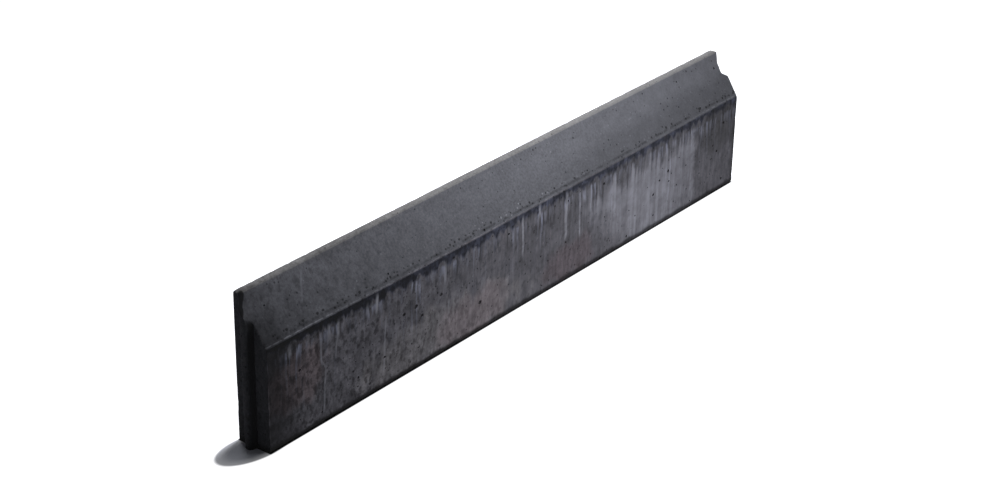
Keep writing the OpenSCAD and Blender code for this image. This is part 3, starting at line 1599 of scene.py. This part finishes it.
@dataclass(frozen=True)
class NearEnd:
    """Painted shade on the tongue's end: its front flank, its foot and its worn upper corner."""

    near_half: Ramp = Ramp(-0.1, 0.1, 1.0, 0.0)
    # Painted shade over the near end, deeper towards its foot and near black on its front flank
    near_end_shade: float = 0.95
    foot_shade: Ramp = Ramp(0.0, 0.120, 0.45, 1.0)
    # The front shoulder a little lighter than the rest of the end: painted light
    shoulder: Ramp = Ramp(0.0, 0.003, 1.1, 1.0)
    flank_border: float = 0.0012
    flank_shade: Ramp = Ramp(0.0, 0.9, 1.0, 0.06)
    worn_reach: float = 0.0075
    worn_border: Ramp = Ramp(-0.0025, 0.0, 1.0, 0.0)
    worn_corner_shade: float = 0.14

    def factor(self, board: Board, spot: Spot, shape: StoneShape) -> Socket:
        """Makes the painted shade and light for the tongue's end.

        Args:
            board: The material's board.
            spot: Where on the stone.
            shape: The stone's shape.

        Returns:
            The factor.
        """
        end = board.times(spot.end, self.near_half.of(board, spot.x))
        shoulder = self.shoulder.moved(shape.tongue_front_root).of(board, spot.y)
        plain = board.times(shoulder, self.foot_shade.of(board, spot.z), self.near_end_shade)
        return board.times(
            board.tinted(end, plain),
            self.flank_shade.of(board, board.times(self._flank(board, spot, shape), end)),
            board.tinted(self._worn(board, spot, shape), self.worn_corner_shade),
        )

    def _flank(self, board: Board, spot: Spot, shape: StoneShape) -> Socket:
        """Makes a mask of the tongue's front flank.

        Args:
            board: The material's board.
            spot: Where on the stone.
            shape: The stone's shape.

        Returns:
            The mask.
        """
        root = shape.tongue_front_root
        crown = shape.tongue_crown[0]
        border = self.flank_border
        return board.times(
            board.step(spot.y, root - border, root),
            board.step(spot.y, root + border, crown + border, 1.0, 0.0),
        )

    def _worn(self, board: Board, spot: Spot, shape: StoneShape) -> Socket:
        """Masks the shade painted on the slope's worn corner; its border follows the tongue's crown.

        Args:
            board: The material's board.
            spot: Where on the stone.
            shape: The stone's shape.

        Returns:
            The mask.
        """
        crown_front, crown_back = shape.tongue_crown
        end_x = board.step(spot.y, crown_back, shape.tongue_back_root, shape.low.x, shape.shoulders[0])
        worn_to = board.plus(end_x, board.step(spot.y, crown_front, crown_back, 0.0, self.worn_reach))
        return board.times(self.worn_border.of(board, board.minus(spot.x, worn_to)), spot.forward)


@dataclass(frozen=True)
class Concrete:
    """Matt anthracite concrete with the marks of weather and casting, and painted light and shade."""

    lime: LimeBloom
    dust_and_floor_light: DustAndFloorLight
    grain: CastGrain = CastGrain()
    arris: Arris = Arris()
    foot_shade: FootShade = FootShade()
    painted_end_shade: PaintedEndShade = PaintedEndShade()
    near_end: NearEnd = NearEnd()
    name: str = "anthracite_concrete"
    paste: Colour = (0.119, 0.122, 0.141)
    front_paste: Colour = (0.1235, 0.1215, 0.141)
    damp: Colour = (0.102, 0.110, 0.160)
    # Top land and back edge: painted light from above and behind, with a less blue tint of its own
    lit_land: Colour = (0.205, 0.203, 0.210)
    front_top: Ramp = Ramp(-0.0008, 0.0004, 1.0, 0.0)
    front_depth: Ramp = Ramp(0.0012, 0.0025, 1.0, 0.0)
    forward_depth: Ramp = Ramp(0.001, 0.005, 1.0, 0.0)
    land_depth: Ramp = Ramp(-0.0028, -0.0014)
    front_tone: Ramp = Ramp(-0.10, 0.03, 1.18, 0.92)
    # Painted shade inside the air holes
    hole_shade: float = 0.32
    bold_near: float = 1.85
    bold_far: float = 0.72
    bold_slope: float = 0.44
    sandy_near: float = 1.5
    sandy_far: float = 0.42
    sandy_slope: Ramp = Ramp(0.0, 0.35, 0.95, 0.42)
    roughness: float = 0.88
    specular: float = 0.15
    bump: float = 0.5
    bump_height: float = 0.0006

    def material(self, shape: StoneShape) -> bpy.types.Material:
        """Builds the concrete.

        Args:
            shape: The stone that it finishes.

        Returns:
            The material.
        """
        material = bpy.data.materials.new(self.name)
        material.use_nodes = True
        material.node_tree.nodes.clear()
        board = Board(material.node_tree)
        spot = self._spot(board, shape)
        bump = board.add(
            "ShaderNodeBump",
            {
                "Height": self.grain.relief.at(board, spot.place),
                "Strength": self.bump,
                "Distance": self.bump_height,
            },
        )
        surface = board.add(
            "ShaderNodeBsdfPrincipled",
            {
                "Base Color": self._colour(board, spot, shape),
                "Roughness": self.roughness,
                "Specular IOR Level": self.specular,
                "Normal": bump.outputs["Normal"],
            },
        )
        board.add("ShaderNodeOutputMaterial", {"Surface": surface.outputs["BSDF"]})
        return material

    def _spot(self, board: Board, shape: StoneShape) -> Spot:
        """Reads where a shaded point lies.

        Args:
            board: The material's board.
            shape: The stone's shape.

        Returns:
            The sockets of the point's place and faces.
        """
        place = board.add("ShaderNodeTexCoord").outputs["Object"]
        x, y, z = board.axes(place)
        end = board.add("ShaderNodeAttribute", attribute_name="end_face").outputs["Fac"]
        hole = board.add("ShaderNodeAttribute", attribute_name="hole").outputs["Fac"]
        rise = board.minus(z, shape.front_height)
        side = board.inverse(end)
        at_front = self.front_depth.moved(shape.low.y).of(board, y)
        front = board.times(self.front_top.of(board, rise), at_front, side)
        forward = board.times(self.forward_depth.moved(shape.land_front).of(board, y), side)
        return Spot(place, x, y, z, rise, end, hole, front, forward)

    def _colour(self, board: Board, spot: Spot, shape: StoneShape) -> Socket:
        """Mixes the colour: paste, damp band, dust, grain, painted light and shade, lime over all.

        Args:
            board: The material's board.
            spot: Where on the stone.
            shape: The stone's shape.

        Returns:
            The colour.
        """
        above = self.arris.above(board, spot)
        band = self.arris.band(board, spot, above)
        # Painted shade along the ground; it also keeps lime off the foot
        foot_shade = self.foot_shade.factor(board, spot)
        tone = board.times(
            self._grain(board, spot, shape),
            board.limited(spot.forward, self.arris.tone(board, spot, above, band)),
            board.limited(spot.forward, self.painted_end_shade.factor(board, spot, shape)),
            foot_shade,
            board.tinted(spot.front, self.front_tone.of(board, spot.x)),
            self.near_end.factor(board, spot, shape),
            board.tinted(spot.hole, self.hole_shade),
        )
        paste = board.mix(spot.front, opaque(self.paste), opaque(self.front_paste))
        damp = board.mix(board.times(band, spot.forward), paste, opaque(self.damp))
        on_land = self.land_depth.moved(shape.high.z).of(board, spot.z)
        bare = board.mix(on_land, damp, opaque(self.lit_land))
        dusted_and_lit = board.scaled(self.dust_and_floor_light.cover(board, bare, spot), tone)
        takes_lime = board.times(spot.forward, board.inverse(spot.hole), foot_shade)
        return self.lime.cover(board, dusted_and_lit, spot, takes_lime)

    def _grain(self, board: Board, spot: Spot, shape: StoneShape) -> Socket:
        """Makes the grain's factor, boldest at the near end of the front.

        Args:
            board: The material's board.
            spot: Where on the stone.
            shape: The stone's shape.

        Returns:
            The factor.
        """
        start = shape.low.x
        boldness = board.times(
            board.step(spot.x, start, 0.0, self.bold_near, self.bold_far),
            board.between(spot.front, self.bold_slope, 1.0),
        )
        sandy_front = board.step(spot.x, start, 0.0, self.sandy_near, self.sandy_far)
        sandy = board.between(spot.front, self.sandy_slope.of(board, spot.x), sandy_front)
        return self.grain.tone(board, spot, boldness, sandy)


@dataclass(frozen=True)
class KerbStone:
    """The stone itself: mesh, cast surface and finish."""

    mesh: StoneMesh
    surface: CastSurface
    concrete: Concrete
    smooth_angle_deg: float = 38.0

    def build(self) -> bpy.types.Object:
        """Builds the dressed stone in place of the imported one.

        Returns:
            The stone's object.
        """
        stone = self.mesh.build()
        self.surface.apply(stone, self.concrete.material(self.mesh.shape))
        stone.data.shade_smooth()
        stone.data.set_sharp_from_angle(angle=math.radians(self.smooth_angle_deg))
        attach(stone, BODY)
        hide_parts(NODE)
        return stone


def turned(place: Vector, aim: Vector, roll: float = 0.0) -> Matrix:
    """World matrix of something that looks along its own -Z at an aim, rolled by some radians."""
    turn = (aim - place).to_track_quat("-Z", "Y").to_matrix().to_4x4()
    return Matrix.Translation(place) @ turn @ Matrix.Rotation(roll, 4, "Z")


@dataclass(frozen=True)
class Softbox:
    """A square lamp with an even face."""

    name: str
    place: Vector
    aim: Vector
    size: float
    power: float
    spread_deg: float

    def build(self) -> bpy.types.Object:
        """Hangs the lamp and turns it to its aim.

        Returns:
            The lamp's object.
        """
        lamp = bpy.data.lights.new(self.name, "AREA")
        lamp.size = self.size
        lamp.spread = math.radians(self.spread_deg)
        lamp.energy = self.power
        holder = bpy.data.objects.new(self.name, lamp)
        holder.matrix_world = turned(self.place, self.aim)
        bpy.context.scene.collection.objects.link(holder)
        return holder


@dataclass(frozen=True)
class Viewpoint:
    """The photograph's camera."""

    aim: Vector
    distance: float
    azimuth_deg: float
    elevation_deg: float
    roll_deg: float
    lens_mm: float
    sensor_mm: float = 36.0

    def build(self) -> bpy.types.Object:
        """Sets the scene's camera.

        Returns:
            The camera's object.
        """
        azimuth = math.radians(self.azimuth_deg)
        elevation = math.radians(self.elevation_deg)
        back = Vector((
            math.sin(azimuth) * math.cos(elevation),
            -math.cos(azimuth) * math.cos(elevation),
            math.sin(elevation),
        ))
        camera = bpy.data.cameras.new("camera")
        camera.sensor_width = self.sensor_mm
        camera.lens = self.lens_mm
        holder = bpy.data.objects.new("camera", camera)
        holder.matrix_world = turned(self.aim + back * self.distance, self.aim, math.radians(self.roll_deg))
        bpy.context.scene.collection.objects.link(holder)
        bpy.context.scene.camera = holder
        return holder


@dataclass(frozen=True)
class Studio:
    """The pale floor and the world round the stone.

    A small soft shadow at the stone's near end is partly real and partly painted on the floor, and a
    dark contact shadow round its foot is painted.
    """

    floor_half: float = 12.0
    floor_seen: Colour = (0.54, 0.56, 0.63)
    floor_bounce: Colour = (0.12, 0.12, 0.12)
    # Painted shadow: an ellipse at the near end where the floor's glow drops, over the lamps' real shadow
    shade_start: Place = (-0.497, 0.0, 0.0)
    shade_turn_deg: float = 8.0
    shade_half: Place = (0.0535, 0.0265, 1.0)
    shade_glow: Ramp = Ramp(0.55, 1.0, 0.0, 0.12)
    shade_border: Ramp = Ramp(0.94, 1.06)
    # Painted contact shadow: a dark line on the floor round the stone's footprint
    foot_centre: Place = (0.0050, 0.0, 0.0)
    foot_half: Place = (0.4985, 0.025, 1.0)
    contact_start: Ramp = Ramp(-0.20, 0.05, 0.0010, 0.0004)
    contact_stop: Ramp = Ramp(-0.20, 0.05, 0.0026, 0.0020)
    contact_shadow_colour: Colour = (0.02, 0.02, 0.02)
    white: Colour = (1.0, 1.0, 1.0)
    ambient: float = 0.06

    def build(self) -> None:
        """Builds floor and world, and shows colours without a film look."""
        self._floor()
        self._world()
        bpy.context.scene.view_settings.view_transform = "Standard"

    @staticmethod
    def _seen(board: Board) -> Socket:
        """Makes a mask of the rays that show the background: camera, mirror and glass rays.

        Args:
            board: The tree's board.

        Returns:
            The mask.
        """
        path = board.add("ShaderNodeLightPath").outputs
        mirrored = board.larger(path["Is Glossy Ray"], path["Is Transmission Ray"])
        return board.larger(path["Is Camera Ray"], mirrored)

    def _floor(self) -> bpy.types.Object:
        """Lays a floor that looks white but throws little light back.

        Returns:
            The floor's object.
        """
        half = self.floor_half
        corners = [(-half, -half, 0), (half, -half, 0), (half, half, 0), (-half, half, 0)]
        mesh = bpy.data.meshes.new("floor")
        mesh.from_pydata(corners, [], [(0, 1, 2, 3)])
        mesh.materials.append(self._paper())
        floor = bpy.data.objects.new("floor", mesh)
        bpy.context.scene.collection.objects.link(floor)
        return floor

    def _paper(self) -> bpy.types.Material:
        """Builds the floor's material, white to the eye and dim to the stone, with painted shadows.

        Returns:
            The material.
        """
        material = bpy.data.materials.new("floor_paper")
        material.use_nodes = True
        material.node_tree.nodes.clear()
        board = Board(material.node_tree)
        place = board.add("ShaderNodeTexCoord").outputs["Object"]
        contact = self._contact(board, place)
        glow = board.times(self._glow(board, place), contact)
        tint = board.mix(contact, opaque(self.contact_shadow_colour), opaque(self.floor_seen))
        paper = board.add("ShaderNodeBsdfDiffuse", {"Color": tint}).outputs[0]
        light = board.add("ShaderNodeEmission", {"Strength": glow}).outputs[0]
        seen = board.add("ShaderNodeAddShader", {0: paper, 1: light}).outputs[0]
        dim = board.add("ShaderNodeBsdfDiffuse", {"Color": opaque(self.floor_bounce)}).outputs[0]
        either = board.add("ShaderNodeMixShader", {0: self._seen(board), 1: dim, 2: seen})
        board.add("ShaderNodeOutputMaterial", {"Surface": either.outputs[0]})
        return material

    def _contact(self, board: Board, place: Socket) -> Socket:
        """Makes a mask of the floor, 0 in the painted contact shadow where it meets the stone.

        Args:
            board: The floor's board.
            place: Object coordinates.

        Returns:
            The mask.
        """
        nothing = (0.0, 0.0, 0.0)
        from_foot = board.vector("SUBTRACT", place, self.foot_centre)
        past_foot = board.vector("SUBTRACT", board.vector("ABSOLUTE", from_foot, nothing), self.foot_half)
        beside = board.length(board.vector("MAXIMUM", past_foot, nothing))
        x = board.axes(place)["X"]
        return board.step(beside, self.contact_start.of(board, x), self.contact_stop.of(board, x))

    def _glow(self, board: Board, place: Socket) -> Socket:
        """Works out how white the floor looks by itself, in the painted shadow and outside it.

        Args:
            board: The floor's board.
            place: Object coordinates.

        Returns:
            The glow, 1 on the open floor.
        """
        turn = {"Vector": place, "Center": self.shade_start, "Angle": math.radians(self.shade_turn_deg)}
        turned_place = board.add("ShaderNodeVectorRotate", turn).outputs[0]
        from_start = board.vector("SUBTRACT", turned_place, self.shade_start)
        away = board.length(board.vector("DIVIDE", from_start, self.shade_half))
        shade = self.shade_glow.of(board, away)
        lit = self.shade_border.of(board, away)
        return board.plus(shade, board.times(lit, board.inverse(shade)))

    def _world(self) -> None:
        """Sets a white background and a weak even light."""
        world = bpy.data.worlds.new("studio")
        world.use_nodes = True
        world.node_tree.nodes.clear()
        board = Board(world.node_tree)
        white = opaque(self.white)
        shown = board.add("ShaderNodeBackground", {"Color": white, "Strength": 1.0}).outputs[0]
        weak = board.add("ShaderNodeBackground", {"Color": white, "Strength": self.ambient}).outputs[0]
        either = board.add("ShaderNodeMixShader", {0: self._seen(board), 1: weak, 2: shown})
        board.add("ShaderNodeOutputWorld", {"Surface": either.outputs[0]})
        bpy.context.scene.world = world


def front_pores() -> tuple[Pore, ...]:
    """Places the large pores of the front.

    Returns:
        The pores.
    """
    return (
        Pore(0.457, 0.066, 0.0021),
        Pore(0.474, 0.016, 0.0022),
        Pore(0.471, 0.107, 0.0020),
        Pore(-0.229, 0.087, 0.0027),
        Pore(-0.252, 0.085, 0.0023),
        Pore(-0.217, 0.070, 0.0021),
        Pore(-0.180, 0.084, 0.0023),
        Pore(-0.101, 0.041, 0.0026),
    )


def front_dust_and_floor_light() -> DustAndFloorLight:
    """Places the front's patches: dust and damp, and painted floor light on its lower part.

    Returns:
        The dust and the painted light.
    """
    return DustAndFloorLight((
        # Broad lighter patch low on the front: painted light from the floor, with a pale dust tint
        DustAndLightPatch(-0.170, 0.026, 0.225, 0.065, (0.206, 0.200, 0.218)),
        DustAndLightPatch(-0.448, 0.080, 0.075, 0.060, (0.156, 0.129, 0.142)),
        # Lighter brownish patch low on the front: brown dust, lightened further as painted light from the
        # floor
        DustAndLightPatch(-0.115, 0.030, 0.105, 0.050, (0.214, 0.188, 0.208)),
        DustAndLightPatch(0.100, 0.029, 0.080, 0.045, (0.126, 0.106, 0.122)),
        DustAndLightPatch(0.462, 0.100, 0.075, 0.055, (0.080, 0.079, 0.088)),
    ))


def front_lime() -> LimeBloom:
    """Places the lime that ran down the front.

    Returns:
        The lime.
    """
    springs = (
        LimeSpring(-0.459, 0.008, 0.6),
        LimeSpring(-0.440, 0.014, 0.95),
        LimeSpring(-0.387, 0.024, 0.7),
        LimeSpring(-0.304, 0.018, 0.7),
        LimeSpring(-0.235, 0.022, 0.75),
        LimeSpring(-0.165, 0.020, 0.55),
        LimeSpring(-0.110, 0.014, 0.3),
        LimeSpring(-0.028, 0.028, 0.38),
        LimeSpring(0.027, 0.010, 0.5),
        LimeSpring(0.087, 0.016, 0.5),
        LimeSpring(0.120, 0.010, 0.4),
        LimeSpring(0.145, 0.010, 0.4),
        LimeSpring(0.195, 0.016, 0.3),
        LimeSpring(0.318, 0.034, 0.4),
        LimeSpring(0.378, 0.018, 0.3),
        LimeSpring(0.418, 0.018, 0.3),
    )
    threads = (
        LimeThread((-0.404, 0.010), (-0.402, 0.064), 0.62),
        LimeThread((-0.407, 0.045), (-0.390, 0.075), 0.40),
        LimeThread((-0.394, 0.056), (-0.401, 0.130), 0.52),
        LimeThread((-0.286, 0.036), (-0.291, 0.122), 0.46),
        LimeThread((-0.370, 0.004), (-0.379, 0.062), 0.42),
        LimeThread((-0.395, -0.060), (-0.416, -0.022), 0.36),
        LimeThread((-0.456, 0.006), (-0.457, 0.030), 0.75, 0.0036),
        LimeThread((-0.388, 0.006), (-0.389, 0.036), 0.62, 0.0030),
        LimeThread((-0.372, 0.006), (-0.373, 0.038), 0.82, 0.0028),
        LimeThread((-0.319, 0.006), (-0.319, 0.030), 0.62, 0.0028),
        LimeThread((-0.302, 0.001), (-0.303, 0.036), 0.88, 0.0028),
        LimeThread((-0.172, 0.006), (-0.172, 0.046), 0.45, 0.0030),
        LimeThread((-0.041, 0.004), (-0.041, 0.034), 0.50, 0.0030),
        LimeThread((-0.013, 0.003), (-0.011, 0.070), 0.60, 0.0026),
        LimeThread((0.024, -0.002), (0.024, 0.026), 0.60, 0.0030),
        LimeThread((0.084, 0.002), (0.083, 0.080), 0.50, 0.0034),
        LimeThread((0.114, 0.008), (0.116, 0.088), 0.48, 0.0024),
        LimeThread((0.364, 0.005), (0.366, 0.052), 0.40, 0.0026),
        LimeThread((0.386, 0.010), (0.391, 0.122), 0.50, 0.0024),
    )
    return LimeBloom(LimeRuns(springs), threads, LimeVeil())


def photo_view() -> Viewpoint:
    """Places the photograph's camera, as its fit to the stone's edges gives it.

    Returns:
        The camera.
    """
    return Viewpoint(
        aim=Vector((-0.06096, -0.025, 0.10759)),
        distance=2.76655,
        azimuth_deg=-52.356,
        elevation_deg=26.361,
        roll_deg=1.019,
        lens_mm=77.08,
    )


def lamps() -> tuple[Softbox, ...]:
    """Places the lamps.

    Returns:
        The lamps.
    """
    return (
        Softbox(
            name="front_lamp",
            place=Vector((0.32, -0.85, 0.25)),
            aim=Vector((0.15, 0.0, 0.08)),
            size=0.45,
            power=1.95,
            spread_deg=95.0,
        ),
        Softbox(
            name="top_lamp",
            place=Vector((0.22, 0.115, 2.49)),
            aim=Vector((0.17, 0.0, 0.1)),
            size=0.2,
            power=3.6,
            spread_deg=50.0,
        ),
        Softbox(
            name="back_lamp",
            place=Vector((0.3, 1.0, 0.5)),
            aim=Vector((0.15, 0.0, 0.15)),
            size=0.6,
            power=3.9,
            spread_deg=110.0,
        ),
        Softbox(
            name="side_lamp",
            place=Vector((1.5, 0.25, 0.35)),
            aim=Vector((0.5, 0.0, 0.1)),
            size=0.4,
            power=0.9,
            spread_deg=60.0,
        ),
    )


def main() -> None:
    """Builds the stone and its studio, and reports each piece."""
    logging.basicConfig(level=logging.INFO, format="%(name)s: %(message)s")
    photo_view().build()
    shape = StoneShape(*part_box(NODE))
    surface = CastSurface(shape.low.y, front_pores())
    concrete = Concrete(front_lime(), front_dust_and_floor_light())
    stone = KerbStone(StoneMesh(shape), surface, concrete).build()
    log.info("%s: %d points, %d faces", stone.name, len(stone.data.vertices), len(stone.data.polygons))
    Studio().build()
    for lamp in lamps():
        lamp.build()
        log.info("%s: %.1f W", lamp.name, lamp.power)


if __name__ == "__main__":
    main()
